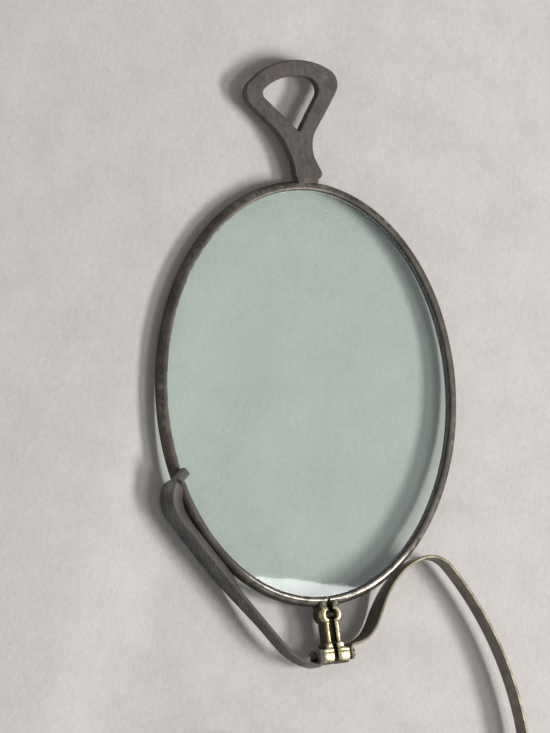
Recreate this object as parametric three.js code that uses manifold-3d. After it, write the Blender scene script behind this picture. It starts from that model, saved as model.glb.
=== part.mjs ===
// Spring-bridge pince-nez: two oval lenses in split rims, brass joint posts, two nose pads,
// a bow spring and a cord handle. Millimetres, lying with the wearer's side up.
// Object frame: X along the pair, Y up as worn, Z off the table towards the wearer. The origin is
// on the lower edge of the bow spring, in the middle of its crown.
// Eye frame: x along the lens towards the nose, y across it and up as worn, z from its middle plane.
// Joint frame: x square off the rim along the joint's slit, y across the slit, z as the eye frame.

import * as THREE from 'three';
import { mergeVertices } from 'three/addons/utils/BufferGeometryUtils.js';
import Module from 'manifold-3d';

const wasm = await Module();
wasm.setup();

const radians = THREE.MathUtils.degToRad;

// The pair
const lensCentres = 57; // between the middles of the lenses, at rest
const droop = radians(20); // each lens's outer end hangs by this

// Lens
const lensLength = 38.5;
const lensHeight = 29.5;
const lensEdge = 0.8; // thickness where it enters the rim
const lensCrown = 0.4; // rise of the wearer's face from the edge to the middle
const lensBelly = 0.15; // and of the outer face, which is flatter
const lensBevel = 0.3; // depth of the V round its edge
const lensClearance = 0.08; // lens to groove

// Rim
const rimWall = 0.6; // metal outside the lens's edge
const rimLip = 0.3; // metal that laps over the lens
const rimDepth = 1.5; // front to back
const brazeGap = 0.05; // rim to the posts and the handle brazed on it

// Joint posts, sizes across the slit taken over both halves
const jointSeat = radians(4.5); // the joint's place on the rim, from the nose end
const slit = 0.3;
const lobeWidth = 2.2;
const lobeLength = 1.5;
const waistWidth = 1.6;
const footWidth = 2.9;
const footLength = 1.7;
const postLength = 5.4;
const postDepth = 2.3;
const postRound = 0.2; // rounding of the top and bottom edges, at most
const postFillet = 0.25; // rounding of the outline
const keyhole = 1.0; // round opening in the slit that the closing screw crosses
const keyholePlace = 0.8; // its middle, from the rim

// Screws
const screwDiameter = 0.8;
const screwClearance = 0.05; // on the radius
const headDiameter = 1.0;
const headHeight = 0.45;
const screwSlot = 0.16;
const screwSlotDepth = 0.15;
const screwGrip = 0.9; // shank inside the foot
const screwTipGap = 0.1; // shank to the bottom of its hole
const closingInset = 0.05; // the closing screw's ends below the lobes

// Strips: the spring and the pads
const tabGap = 0.03; // strip to the foot it is screwed to, and to the screw's head
const tabReach = 0.6; // tab past the screw's axis, on its free side

// Bow spring
const springThick = 0.3;
const springDrop = 1.0; // lower edge below the lens's middle plane
const springRise = 1.0; // and upper edge above it
const springTabRun = 0.45; // from the screw's axis to the tab's bend
const springTabBend = 0.35;
const springTabTurn = radians(86);
const springElbow = 3.4; // how far the strip holds its heading after the tab
const springRiser = 4.1; // and before it passes the rim
const springPass = radians(34.3); // where it passes the rim, from the lens's nose end
const springGap = 0.15; // to the rim there
const shoulderRadius = 6.0;
const shoulderTurn = radians(23);
const returnRadius = 2.65;
const armRise = radians(60.4); // slope of the arms at their foot, as worn
const crownRise = radians(29); // and where they run into the crown
const crownRadius = 12.4;

// Nose pads
const padThick = 0.35;
const padHeelDrop = 0.8; // lower edge below the lens's middle plane, at the heel
const padDrop = 2.0; // at the blade's deepest point, which the object lies on
const padToeDrop = 1.5; // and at the toe
const padRise = 1.15; // upper edge above the lens's middle plane, at the heel
const padCrest = 1.0; // and over the blade's deepest point
const padTabRun = 0.45; // from the screw's axis to the tab's bend
const padTabBend = 0.4;
const padTabTurn = radians(106);
const padHeel = 2.2; // how far the strip holds its heading after the tab
const padHeelIn = 2.2; // and before the blade
const padPass = radians(42); // where the blade runs along the rim, below the lens's nose end
const padGap = 0.5; // blade to rim there
const padBladeUp = 8.8; // blade from there up to the heel
const padBladeDown = 4.6; // and down to the toe
const padTaper = 9.5; // from the blade's deepest point to the end of the toe
const toeRadius = 2.9;
const toeTurn = radians(58);
const fingerTurn = radians(30); // the finger's own share of the curl
const fingerReach = 0.5; // its straight end
const fingerLap = 0.3; // its root inside the toe
const fingerWide = 0.9;
const fingerGap = 0.15; // finger above the rim
const fingerDepth = 0.85;

// Handle
const handleThick = 1.0;
const handleSeat = radians(177); // its place on the rim, from the lens's nose end
const handleLean = radians(8.4); // towards the lower side
const handleStem = 4.7; // rim to the point of the loop's opening
const loopRadius = 5.2; // opening, from that point to its round side
const loopAngle = radians(39); // half the opening's angle
const loopBand = 1.5;
const loopCornerLow = 0.6; // rounding inside, on the lower side
const loopCornerHigh = 1.25; // and on the upper side
const loopShoulder = 1.5; // rounding outside
const neckWidth = 2.15;
const neckFilletLow = 7.5; // from the neck to the loop, on the lower side
const neckFilletHigh = 3.0; // and on the upper side
const handleFoot = 0.5; // radius of the round nub beside the foot
const handleSink = 1.2; // foot drawn past the rim's outside before the rim is cut out of it

// Fineness
const rimSteps = 72;
const rimArcSegments = 3;
const lensSegments = 64;
const lensRings = 4;
const roundSegments = 18;
const arcStep = radians(9);
const easeSteps = 10;
const bevelSteps = 2;
const postArcSegments = 3;
const handleArcSegments = 5;
const mergeTolerance = 1e-4;

// What the sizes above give
const halfLength = lensLength / 2;
const halfHeight = lensHeight / 2;
const screwRadius = screwDiameter / 2;
const holeRadius = screwRadius + screwClearance;
const footScrew = postLength - footLength / 2;
const screwLong = footWidth + postDepth; // longer than any hole it cuts
const padTop = rimDepth / 2 + fingerGap + fingerDepth;
const postStep = Math.min(lobeWidth, footWidth) - waistWidth;
const postCorner = Math.min(postFillet, postStep / 4); // so that two of them fit one step
const postBevel = Math.min(postRound, 0.8 * postCorner); // stays inside the corners

const steel = new THREE.MeshStandardMaterial({ color: 0x4d443f, roughness: 0.55, metalness: 0.9 });
const rust = new THREE.MeshStandardMaterial({ color: 0x513f3a, roughness: 0.8, metalness: 0.5 });
const padSteel = new THREE.MeshStandardMaterial({ color: 0x4b4a47, roughness: 0.6, metalness: 0.8 });
const brass = new THREE.MeshStandardMaterial({ color: 0xb89a58, roughness: 0.35, metalness: 1.0 });
const springMetal = new THREE.MeshStandardMaterial({ color: 0x8d8568, roughness: 0.4, metalness: 1.0 });
const glass = new THREE.MeshStandardMaterial({
  color: 0xbfd6cc,
  roughness: 0.05,
  metalness: 0.0,
  transparent: true,
  opacity: 0.35,
});

// Solids and booleans

function toSolid(geometry) {
  const bare = new THREE.BufferGeometry();
  bare.setAttribute('position', geometry.getAttribute('position'));
  bare.setIndex(geometry.getIndex());
  const merged = mergeVertices(bare, mergeTolerance);
  const corners = merged.getIndex().array;
  const kept = [];
  for (let i = 0; i < corners.length; i += 3) {
    const [a, b, c] = corners.slice(i, i + 3);
    if (a !== b && b !== c && c !== a) {
      kept.push(a, b, c);
    }
  }
  return new wasm.Manifold(new wasm.Mesh({
    numProp: 3,
    vertProperties: merged.getAttribute('position').array,
    triVerts: new Uint32Array(kept),
  }));
}

function toGeometry(solid) {
  const faces = solid.getMesh();
  const geometry = new THREE.BufferGeometry();
  geometry.setAttribute('position', new THREE.BufferAttribute(faces.vertProperties, 3));
  geometry.setIndex(new THREE.BufferAttribute(faces.triVerts, 1));
  return geometry;
}

function cut(geometry, ...tools) {
  return toGeometry(tools.reduce((solid, tool) => solid.subtract(toSolid(tool)), toSolid(geometry)));
}

function mesh(name, geometry, material) {
  const piece = new THREE.Mesh(geometry, material);
  piece.name = name;
  return piece;
}

// The oval of the lens's edge and the curves beside it

// A point beside the lens's edge at an ellipse angle, and the outward and forward headings there.
function besideOval(angle, outward) {
  const out = Math.atan2(Math.sin(angle) / halfHeight, Math.cos(angle) / halfLength);
  return {
    x: halfLength * Math.cos(angle) + outward * Math.cos(out),
    y: halfHeight * Math.sin(angle) + outward * Math.sin(out),
    out,
    along: out + Math.PI / 2,
  };
}

class OvalArc extends THREE.Curve {
  constructor(start, end) {
    super();
    this.start = start;
    this.end = end;
  }

  getPoint(t, target = new THREE.Vector3()) {
    const { x, y } = besideOval(this.start + (this.end - this.start) * t, 0);
    return target.set(x, y, 0);
  }
}

// A prism of the rim's outside, used to cut the foot of what is brazed on it.
function rimEnvelope() {
  const points = [];
  for (let i = 0; i < 2 * rimSteps; i += 1) {
    const { x, y } = besideOval((i * Math.PI) / rimSteps, rimWall + brazeGap);
    points.push(new THREE.Vector2(x, y));
  }
  const depth = postDepth + handleThick;
  const prism = new THREE.ExtrudeGeometry(new THREE.Shape(points), { depth, bevelEnabled: false });
  return prism.translate(0, 0, -depth / 2);
}

// A strip's centreline, walked as stations of a point and a heading.
class StripPath {
  constructor(x, y, heading) {
    this.stations = [{ x, y, heading }];
  }

  get end() {
    return this.stations[this.stations.length - 1];
  }

  run(length) {
    const { x, y, heading } = this.end;
    this.stations.push({
      x: x + length * Math.cos(heading),
      y: y + length * Math.sin(heading),
      heading,
    });
    return this;
  }

  // An arc that turns to the left, or to the right where turn is negative.
  arc(radius, turn) {
    const { x, y, heading } = this.end;
    const side = Math.sign(turn) * radius;
    const centreX = x - side * Math.sin(heading);
    const centreY = y + side * Math.cos(heading);
    const steps = Math.max(2, Math.ceil(Math.abs(turn) / arcStep));
    for (let i = 1; i <= steps; i += 1) {
      const now = heading + (turn * i) / steps;
      this.stations.push({
        x: centreX + side * Math.sin(now),
        y: centreY - side * Math.cos(now),
        heading: now,
      });
    }
    return this;
  }

  // A cubic curve to a point and heading, with the reach of its two handles.
  ease(goal, heading, reachOut, reachIn) {
    const from = this.end;
    const curve = new THREE.CubicBezierCurve(
      new THREE.Vector2(from.x, from.y),
      new THREE.Vector2(
        from.x + reachOut * Math.cos(from.heading),
        from.y + reachOut * Math.sin(from.heading),
      ),
      new THREE.Vector2(goal.x - reachIn * Math.cos(heading), goal.y - reachIn * Math.sin(heading)),
      new THREE.Vector2(goal.x, goal.y),
    );
    for (let i = 1; i <= easeSteps; i += 1) {
      const point = curve.getPoint(i / easeSteps);
      const tangent = curve.getTangent(i / easeSteps);
      this.stations.push({ x: point.x, y: point.y, heading: Math.atan2(tangent.y, tangent.x) });
    }
    return this;
  }

  // The same path turned by an angle and then moved.
  placed(angle, x, y) {
    const copy = new StripPath(0, 0, 0);
    copy.stations = this.stations.map((station) => ({
      x: x + station.x * Math.cos(angle) - station.y * Math.sin(angle),
      y: y + station.x * Math.sin(angle) + station.y * Math.cos(angle),
      heading: station.heading + angle,
    }));
    return copy;
  }
}

// A strip of even thickness along the stations, standing on edge between two heights.
function stripGeometry(stations, thickness, low, high) {
  const side = (offset) => stations.map(({ x, y, heading }) => new THREE.Vector2(
    x - offset * Math.sin(heading),
    y + offset * Math.cos(heading),
  ));
  const outline = [...side(-thickness / 2), ...side(thickness / 2).reverse()];
  const strip = new THREE.ExtrudeGeometry(new THREE.Shape(outline), {
    depth: high - low,
    bevelEnabled: false,
  });
  return strip.translate(0, 0, low);
}

// Lens and rim

function lensGeometry() {
  const ring = halfLength - lensBevel;
  const face = (side, rise) => Array.from({ length: lensRings + 1 }, (_, i) => {
    const share = i / lensRings;
    return new THREE.Vector2(ring * share, side * (lensEdge / 2 + rise * (1 - share * share)));
  });
  const tip = new THREE.Vector2(halfLength, 0);
  const profile = [...face(-1, lensBelly), tip, ...face(1, lensCrown).reverse()];
  const lens = new THREE.LatheGeometry(profile, lensSegments);
  return lens.rotateX(Math.PI / 2).scale(1, lensHeight / lensLength, 1);
}

// The eyewire's section: half-round outside, two lips and a square groove inside.
function rimSection() {
  const half = rimDepth / 2;
  const groove = lensEdge / 2 + lensClearance;
  const section = new THREE.Shape();
  section.moveTo(-half, rimLip);
  section.lineTo(-half, 0);
  section.absellipse(0, 0, half, rimWall, Math.PI, 2 * Math.PI, false);
  section.lineTo(half, rimLip);
  section.lineTo(groove, rimLip);
  section.lineTo(groove, -lensClearance);
  section.lineTo(-groove, -lensClearance);
  section.lineTo(-groove, rimLip);
  section.closePath();
  return section;
}

function rimGeometry() {
  const halfSlit = slit / 2 / halfHeight;
  return new THREE.ExtrudeGeometry(rimSection(), {
    extrudePath: new OvalArc(jointSeat + halfSlit, jointSeat + 2 * Math.PI - halfSlit),
    steps: rimSteps,
    curveSegments: rimArcSegments,
    bevelEnabled: false,
  });
}

// Joint, in its own frame on the rim

const jointPlace = besideOval(jointSeat, rimWall);
const jointMatrix = new THREE.Matrix4()
  .makeRotationZ(jointPlace.out)
  .setPosition(jointPlace.x, jointPlace.y, 0);

function screwHole(x, from, to) {
  const hole = new THREE.CylinderGeometry(holeRadius, holeRadius, to - from, roundSegments);
  return hole.translate(x, (from + to) / 2, 0);
}

// One half of the joint, above the slit: a lobe on the rim, a waist and a foot.
function postOutline() {
  const edge = slit / 2;
  const lobe = lobeWidth / 2;
  const waist = waistWidth / 2;
  const foot = footWidth / 2;
  const footStart = postLength - footLength;
  const round = postCorner;
  const bite = Math.asin(edge / (keyhole / 2));
  const outline = new THREE.Shape();
  outline.moveTo(-rimWall, lobe);
  outline.lineTo(-rimWall, edge);
  outline.absarc(keyholePlace, 0, keyhole / 2, Math.PI - bite, bite, true);
  outline.lineTo(postLength, edge);
  outline.absarc(postLength - postFillet, foot - postFillet, postFillet, 0, Math.PI / 2, false);
  outline.absarc(footStart + round, foot - round, round, Math.PI / 2, Math.PI, false);
  outline.absarc(footStart - round, waist + round, round, 0, -Math.PI / 2, true);
  outline.absarc(lobeLength + round, waist + round, round, -Math.PI / 2, -Math.PI, true);
  outline.absarc(lobeLength - round, lobe - round, round, 0, Math.PI / 2, false);
  outline.closePath();
  return outline;
}

function postGeometry() {
  const post = new THREE.ExtrudeGeometry(postOutline(), {
    depth: postDepth - 2 * postBevel,
    bevelEnabled: true,
    bevelThickness: postBevel,
    bevelSize: postBevel,
    bevelOffset: -postBevel,
    bevelSegments: bevelSteps,
    curveSegments: postArcSegments,
  });
  post.translate(0, 0, postBevel - postDepth / 2);
  const rimCut = rimEnvelope().applyMatrix4(jointMatrix.clone().invert());
  const foot = footWidth / 2;
  return cut(
    post,
    rimCut,
    screwHole(keyholePlace, -screwLong, screwLong),
    screwHole(footScrew, foot - screwGrip - screwTipGap, foot + screwLong),
  );
}

// A screw along y, with the slot in its upper end at y = top.
function slotted(profile, top) {
  const turned = new THREE.LatheGeometry(profile, roundSegments);
  const slotCut = new THREE.BoxGeometry(screwSlot, 2 * screwSlotDepth, 2 * headDiameter);
  return cut(turned, slotCut.translate(0, top, 0));
}

function closingScrewGeometry() {
  const half = lobeWidth / 2 - closingInset;
  const profile = [
    new THREE.Vector2(0, -half),
    new THREE.Vector2(screwRadius, -half),
    new THREE.Vector2(screwRadius, half),
    new THREE.Vector2(0, half),
  ];
  return slotted(profile, half);
}

// The head's underside is at y = 0, on the tab, and the shank goes down through tab and foot.
function stripScrewGeometry(tabThick) {
  const tip = -(tabThick + 2 * tabGap + screwGrip);
  const profile = [
    new THREE.Vector2(0, tip),
    new THREE.Vector2(screwRadius, tip),
    new THREE.Vector2(screwRadius, 0),
    new THREE.Vector2(headDiameter / 2, 0),
    new THREE.Vector2(headDiameter / 2, headHeight),
    new THREE.Vector2(0, headHeight),
  ];
  return slotted(profile, headHeight);
}

// Where a strip of this thickness lies on a foot's flank, and where its screw's head sits.
function tabMiddle(thickness) {
  return footWidth / 2 + tabGap + thickness / 2;
}

function headSeat(thickness) {
  return footWidth / 2 + 2 * tabGap + thickness;
}

function jointToEye(x, y, heading) {
  const point = new THREE.Vector3(x, y, 0).applyMatrix4(jointMatrix);
  return [point.x, point.y, heading + jointPlace.out];
}

// Bow spring

// From the tab on the upper foot, past the rim and round the return bend, in the eye frame.
function springLimb() {
  const start = jointToEye(footScrew + tabReach, tabMiddle(springThick), Math.PI);
  const pass = besideOval(springPass, rimWall + springGap + springThick / 2);
  const path = new StripPath(...start)
    .run(tabReach + springTabRun)
    .arc(springTabBend, -springTabTurn)
    .ease(pass, pass.along, springElbow, springRiser)
    .arc(shoulderRadius, -shoulderTurn);
  return path.arc(returnRadius, armRise - droop - path.end.heading);
}

// The left half of the spring in the object frame, with the lens's middle at height 0.
function springHalf() {
  const path = springLimb().placed(droop, -lensCentres / 2, 0);
  const armSpan = -crownRadius * Math.sin(crownRise) - path.end.x;
  const armRadius = armSpan / (Math.sin(armRise) - Math.sin(crownRise));
  return path.arc(armRadius, crownRise - armRise).arc(crownRadius, -crownRise);
}

const leftSpring = springHalf();
const lensPlace = new THREE.Vector3(-lensCentres / 2, -leftSpring.end.y, springDrop);

function springGeometry() {
  const left = leftSpring.placed(0, 0, lensPlace.y).stations;
  const right = left.slice(0, -1).reverse().map(({ x, y, heading }) => ({ x: -x, y, heading: -heading }));
  const strip = stripGeometry([...left, ...right], springThick, 0, springDrop + springRise);
  const foot = footWidth / 2;
  const eyeMatrix = new THREE.Matrix4().makeRotationZ(droop).setPosition(lensPlace);
  const leftHole = screwHole(footScrew, foot, foot + screwLong)
    .applyMatrix4(jointMatrix)
    .applyMatrix4(eyeMatrix);
  const rightHole = leftHole.clone().rotateY(Math.PI).translate(0, 0, 2 * springDrop);
  return cut(strip, leftHole, rightHole);
}

// Nose pad

const padSide = besideOval(-padPass, rimWall + padGap + padThick / 2);
const bladeHeading = padSide.along - Math.PI;

function alongBlade(distance) {
  return {
    x: padSide.x + distance * Math.cos(bladeHeading),
    y: padSide.y + distance * Math.sin(bladeHeading),
  };
}

function padPath() {
  const start = jointToEye(footScrew - tabReach, -tabMiddle(padThick), 0);
  return new StripPath(...start)
    .run(tabReach + padTabRun)
    .arc(padTabBend, -padTabTurn)
    .ease(alongBlade(-padBladeUp), bladeHeading, padHeel, padHeelIn)
    .run(padBladeUp + padBladeDown)
    .arc(toeRadius, -toeTurn);
}

// The finger goes on from the end of the toe, over the rim.
function fingerPath() {
  const { x, y, heading } = padPath().end;
  return new StripPath(x - fingerLap * Math.cos(heading), y - fingerLap * Math.sin(heading), heading)
    .run(fingerLap)
    .arc(toeRadius, -fingerTurn)
    .run(fingerReach);
}

// The pad seen square to its blade: narrow at the heel, deepest beside the rim.
function padSideShape() {
  const far = lensLength + postLength;
  const toe = padBladeDown + toeRadius * Math.sin(toeTurn);
  const side = new THREE.Shape();
  side.moveTo(-far, -padHeelDrop);
  side.lineTo(-padBladeUp, -padHeelDrop);
  side.lineTo(toe - padTaper, -padDrop);
  side.lineTo(toe, -padToeDrop);
  side.lineTo(far, -padToeDrop);
  side.lineTo(far, padTop);
  side.lineTo(toe, padTop);
  side.lineTo(toe - padTaper, padCrest);
  side.lineTo(-padBladeUp, padRise);
  side.lineTo(-far, padRise);
  side.closePath();
  return side;
}

function padGeometry() {
  const strip = stripGeometry(padPath().stations, padThick, -padDrop, padTop);
  const depth = lensLength;
  const side = new THREE.ExtrudeGeometry(padSideShape(), { depth, bevelEnabled: false });
  side.translate(0, 0, -depth / 2).rotateX(Math.PI / 2).rotateZ(bladeHeading);
  side.translate(padSide.x, padSide.y, 0);
  const finger = stripGeometry(fingerPath().stations, fingerWide, padTop - fingerDepth, padTop);
  const foot = footWidth / 2;
  const hole = screwHole(footScrew, -foot - screwLong, -foot).applyMatrix4(jointMatrix);
  return toGeometry(toSolid(strip).intersect(toSolid(side)).add(toSolid(finger)).subtract(toSolid(hole)));
}

// Handle, in its own frame: x out from the rim, y across, towards the lower side

const handlePlace = besideOval(handleSeat, rimWall);

// The round corner of a fan whose sides and round side lie outside the opening's by an offset.
// The middle and the angles are about the opening's point.
function fanCorner(offset, corner) {
  const across = offset - corner;
  const reach = loopRadius + offset - corner;
  const along = Math.sqrt(reach * reach - across * across);
  return {
    x: along * Math.cos(loopAngle) - across * Math.sin(loopAngle),
    y: along * Math.sin(loopAngle) + across * Math.cos(loopAngle),
    side: loopAngle + Math.PI / 2,
    round: loopAngle + Math.atan2(across, along),
  };
}

// The middle of the fillet between the neck and the loop's side.
function neckBend(fillet) {
  const y = neckWidth / 2 + fillet;
  return { x: handleStem + (y * Math.cos(loopAngle) - loopBand - fillet) / Math.sin(loopAngle), y };
}

function handleOutline() {
  const neck = neckWidth / 2;
  const bend = fanCorner(loopBand, loopShoulder);
  const low = neckBend(neckFilletLow);
  const high = neckBend(neckFilletHigh);
  const turn = Math.PI / 2 - loopAngle;
  const outline = new THREE.Shape();
  outline.moveTo(-handleSink, neck);
  outline.lineTo(-handleSink, -neck);
  outline.absarc(high.x, -high.y, neckFilletHigh, Math.PI / 2, turn, true);
  outline.absarc(handleStem + bend.x, -bend.y, loopShoulder, -bend.side, -bend.round, false);
  outline.absarc(handleStem, 0, loopRadius + loopBand, -bend.round, bend.round, false);
  outline.absarc(handleStem + bend.x, bend.y, loopShoulder, bend.round, bend.side, false);
  outline.absarc(low.x, low.y, neckFilletLow, -turn, -Math.PI / 2, true);
  outline.closePath();
  return outline;
}

function loopOpening() {
  const low = fanCorner(0, loopCornerLow);
  const high = fanCorner(0, loopCornerHigh);
  const opening = new THREE.Path();
  opening.absarc(handleStem + high.x, -high.y, loopCornerHigh, -high.side, -high.round, false);
  opening.absarc(handleStem, 0, loopRadius, -high.round, low.round, false);
  opening.absarc(handleStem + low.x, low.y, loopCornerLow, low.round, low.side, false);
  opening.lineTo(handleStem, 0);
  opening.closePath();
  return opening;
}

function handleGeometry() {
  const outline = handleOutline();
  outline.holes.push(loopOpening());
  const plate = new THREE.ExtrudeGeometry(outline, {
    depth: handleThick,
    curveSegments: handleArcSegments,
    bevelEnabled: false,
  });
  const nub = new THREE.CylinderGeometry(handleFoot, handleFoot, handleThick, roundSegments);
  nub.rotateX(Math.PI / 2).translate(handleFoot, -neckWidth / 2, handleThick / 2);
  const whole = toSolid(plate).add(toSolid(nub));
  const rimCut = rimEnvelope().applyMatrix4(handleMatrix().invert());
  return toGeometry(whole.subtract(toSolid(rimCut)));
}

function handleMatrix() {
  return new THREE.Matrix4()
    .makeRotationZ(Math.PI + handleLean)
    .setPosition(handlePlace.x, handlePlace.y, -handleThick / 2);
}

// The scene graph

function jointGroup(side) {
  const group = new THREE.Group();
  group.position.set(jointPlace.x, jointPlace.y, 0);
  group.rotation.z = jointPlace.out;

  const upperPost = mesh(`${side}_upper_post`, postGeometry(), brass);
  const lowerPost = mesh(`${side}_lower_post`, postGeometry(), brass);
  lowerPost.rotation.x = Math.PI;

  const closingScrew = mesh(`${side}_closing_screw`, closingScrewGeometry(), steel);
  closingScrew.position.x = keyholePlace;

  const springScrew = mesh(`${side}_spring_screw`, stripScrewGeometry(springThick), steel);
  springScrew.position.set(footScrew, headSeat(springThick), 0);

  const padScrew = mesh(`${side}_pad_screw`, stripScrewGeometry(padThick), steel);
  padScrew.position.set(footScrew, -headSeat(padThick), 0);
  padScrew.rotation.x = Math.PI;

  group.add(upperPost, lowerPost, closingScrew, springScrew, padScrew);
  return group;
}

function half(side) {
  const group = new THREE.Group();
  group.position.copy(lensPlace);
  group.rotation.z = droop;
  group.add(
    mesh(`${side}_lens`, lensGeometry(), glass),
    mesh(`${side}_rim`, rimGeometry(), steel),
    mesh(`${side}_nose_pad`, padGeometry(), padSteel),
    jointGroup(side),
  );
  return group;
}

const leftHalf = half('left');
const handle = mesh('handle', handleGeometry(), rust);
handle.applyMatrix4(handleMatrix());
leftHalf.add(handle);

const mirrored = new THREE.Group();
mirrored.scale.x = -1;
mirrored.add(half('right'));

const pinceNez = new THREE.Group();
pinceNez.add(leftHalf, mirrored, mesh('bow_spring', springGeometry(), springMetal));

export default pinceNez;
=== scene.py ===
import bmesh
import bpy
import numpy as np
from mathutils import Matrix, Vector


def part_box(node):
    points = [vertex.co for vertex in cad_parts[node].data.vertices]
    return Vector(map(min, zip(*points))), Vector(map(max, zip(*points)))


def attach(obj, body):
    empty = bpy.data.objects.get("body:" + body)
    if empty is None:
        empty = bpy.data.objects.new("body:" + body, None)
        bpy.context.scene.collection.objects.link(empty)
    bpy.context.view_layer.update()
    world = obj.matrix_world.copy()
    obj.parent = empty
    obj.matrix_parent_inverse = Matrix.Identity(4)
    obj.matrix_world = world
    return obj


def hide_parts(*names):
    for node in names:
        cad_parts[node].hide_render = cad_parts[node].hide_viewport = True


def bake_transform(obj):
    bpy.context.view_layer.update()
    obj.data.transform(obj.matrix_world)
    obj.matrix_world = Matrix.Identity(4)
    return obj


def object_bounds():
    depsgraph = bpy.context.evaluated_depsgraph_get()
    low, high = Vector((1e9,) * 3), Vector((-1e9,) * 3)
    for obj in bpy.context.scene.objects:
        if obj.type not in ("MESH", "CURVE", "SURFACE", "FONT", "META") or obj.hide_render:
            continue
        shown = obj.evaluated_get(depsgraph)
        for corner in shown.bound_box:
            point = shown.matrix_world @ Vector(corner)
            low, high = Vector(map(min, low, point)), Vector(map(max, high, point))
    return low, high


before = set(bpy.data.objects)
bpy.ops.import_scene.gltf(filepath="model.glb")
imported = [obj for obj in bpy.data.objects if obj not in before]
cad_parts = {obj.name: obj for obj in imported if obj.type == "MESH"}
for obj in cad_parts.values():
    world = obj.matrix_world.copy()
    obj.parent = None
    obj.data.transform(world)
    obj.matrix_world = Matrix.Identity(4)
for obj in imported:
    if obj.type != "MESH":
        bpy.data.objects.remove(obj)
cadBox = [list(corner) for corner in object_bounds()]
print("frame loaded with", len(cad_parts), "nodes")

# Lengths are in millimetres here and turn into metres when a mesh is made.
# Pair frame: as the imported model. Eye frame: x along the left lens to the nose, y across it, z up
# from its middle plane. Joint frame: x off the rim along the slit, y across the slit.
# Every piece is worked out for the left half, and the right half is its mirror.
mm = 0.001
near = 1e-6  # a point within this of a line lies on it
scene = bpy.context.scene
sides = {"left": 1, "right": -1}

pair = {
    "droop": np.radians(20),
    "lensLength": 38.5,
    "lensHeight": 29.5,
    "jointSeat": np.radians(4.5),
    "rimWall": 0.6,
}
halfLength = pair["lensLength"] / 2
halfHeight = pair["lensHeight"] / 2
lensCentre = np.array(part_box("left_lens")).mean(0) / mm
lensCentre[2] = np.array(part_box("left_rim")).mean(0)[2] / mm  # the lens bulges more on one face


def turned(points, angle, place):
    # every point turned about z by the angle, then moved to the place
    cos, sin = np.cos(angle), np.sin(angle)
    return points @ np.array([[cos, sin, 0], [-sin, cos, 0], [0, 0, 1]]) + place


def besideOval(angle, outward):
    # the lens's oval at an ellipse angle, moved outward along its normal, and the normal's direction
    out = np.arctan2(np.sin(angle) / halfHeight, np.cos(angle) / halfLength)
    x = halfLength * np.cos(angle) + outward * np.cos(out)
    y = halfHeight * np.sin(angle) + outward * np.sin(out)
    return x, y, out


jointX, jointY, jointOut = besideOval(pair["jointSeat"], pair["rimWall"])


def fromEye(points):
    return turned(points, pair["droop"], lensCentre)


def fromJoint(points):
    return fromEye(turned(points, jointOut, np.array([jointX, jointY, 0])))


waves = {"count": 12, "stretch": 1.7, "level": 4.9}


def ripple(points, size, seed):
    # an even, smooth unevenness between about -1 and 1: sine waves in fixed random directions
    rng = np.random.default_rng(seed)
    ways = rng.normal(size=(waves["count"], 3)) * (2 * np.pi / size / waves["stretch"])
    shifts = rng.uniform(0, 2 * np.pi, waves["count"])
    return np.sin(points @ ways.T + shifts).sum(-1) / waves["level"]


def smooth(value, low, high):
    # 0 below low, 1 above high, and a smooth step between them
    t = np.clip((value - low) / (high - low), 0, 1)
    return t * t * (3 - 2 * t)


def shell(points, ring=False, ends=True, **fields):
    # a grid of points, station by station, each station a closed section
    return {"points": points, "ring": ring, "ends": ends, "fields": fields}


mergeDistance = 1e-8  # metres


def makePiece(name, shells, side, body, node, material, sharp=50):
    # quads join neighbouring points of each shell, and end sections are filled
    verts, faces, fields, start = [], [], {}, 0
    for part in shells:
        points = part["points"] * np.array([sides[side], 1, 1])
        rows, columns = points.shape[:2]
        number = np.arange(rows * columns).reshape(rows, columns) + start
        here = number if part["ring"] else number[:-1]
        ahead = np.roll(number, -1, 0) if part["ring"] else number[1:]
        quads = np.stack([here, ahead, np.roll(ahead, -1, 1), np.roll(here, -1, 1)], -1)
        faces += quads.reshape(-1, 4).tolist()
        if part["ends"] and not part["ring"]:
            faces += [number[0].tolist(), number[-1][::-1].tolist()]
        for key, value in part["fields"].items():
            fields.setdefault(key, []).append(np.broadcast_to(value, (rows, columns)).ravel())
        verts.append(points.reshape(-1, 3) * mm)
        start += rows * columns
    mesh = bpy.data.meshes.new(name)
    mesh.from_pydata(np.concatenate(verts).tolist(), [], faces)
    for key, values in fields.items():
        layer = mesh.attributes.new(key, "FLOAT", "POINT")
        layer.data.foreach_set("value", np.concatenate(values).astype(np.float32))
    cleaned = bmesh.new()
    cleaned.from_mesh(mesh)
    bmesh.ops.remove_doubles(cleaned, verts=cleaned.verts, dist=mergeDistance)
    bmesh.ops.recalc_face_normals(cleaned, faces=cleaned.faces)
    cleaned.to_mesh(mesh)
    cleaned.free()
    mesh.polygons.foreach_set("use_smooth", np.ones(len(mesh.polygons), bool))
    mesh.set_sharp_from_angle(angle=np.radians(sharp))
    mesh.materials.append(material)
    piece = bpy.data.objects.new(name, mesh)
    scene.collection.objects.link(piece)
    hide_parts(node)
    if body:
        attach(piece, body)
    return piece


def tone(red, green, blue):
    # a colour as seen on a screen, 0 to 255, as the linear colour that a shader takes
    value = np.array([red, green, blue]) / 255
    linear = np.where(value <= 0.04045, value / 12.92, ((value + 0.055) / 1.055) ** 2.4)
    return (*linear.tolist(), 1.0)


# Material helpers

def newMaterial(name):
    material = bpy.data.materials.new(name)
    material.use_nodes = True
    tree = material.node_tree
    coords = tree.nodes.new("ShaderNodeTexCoord").outputs["Object"]
    return material, tree, tree.nodes["Principled BSDF"], coords


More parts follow.
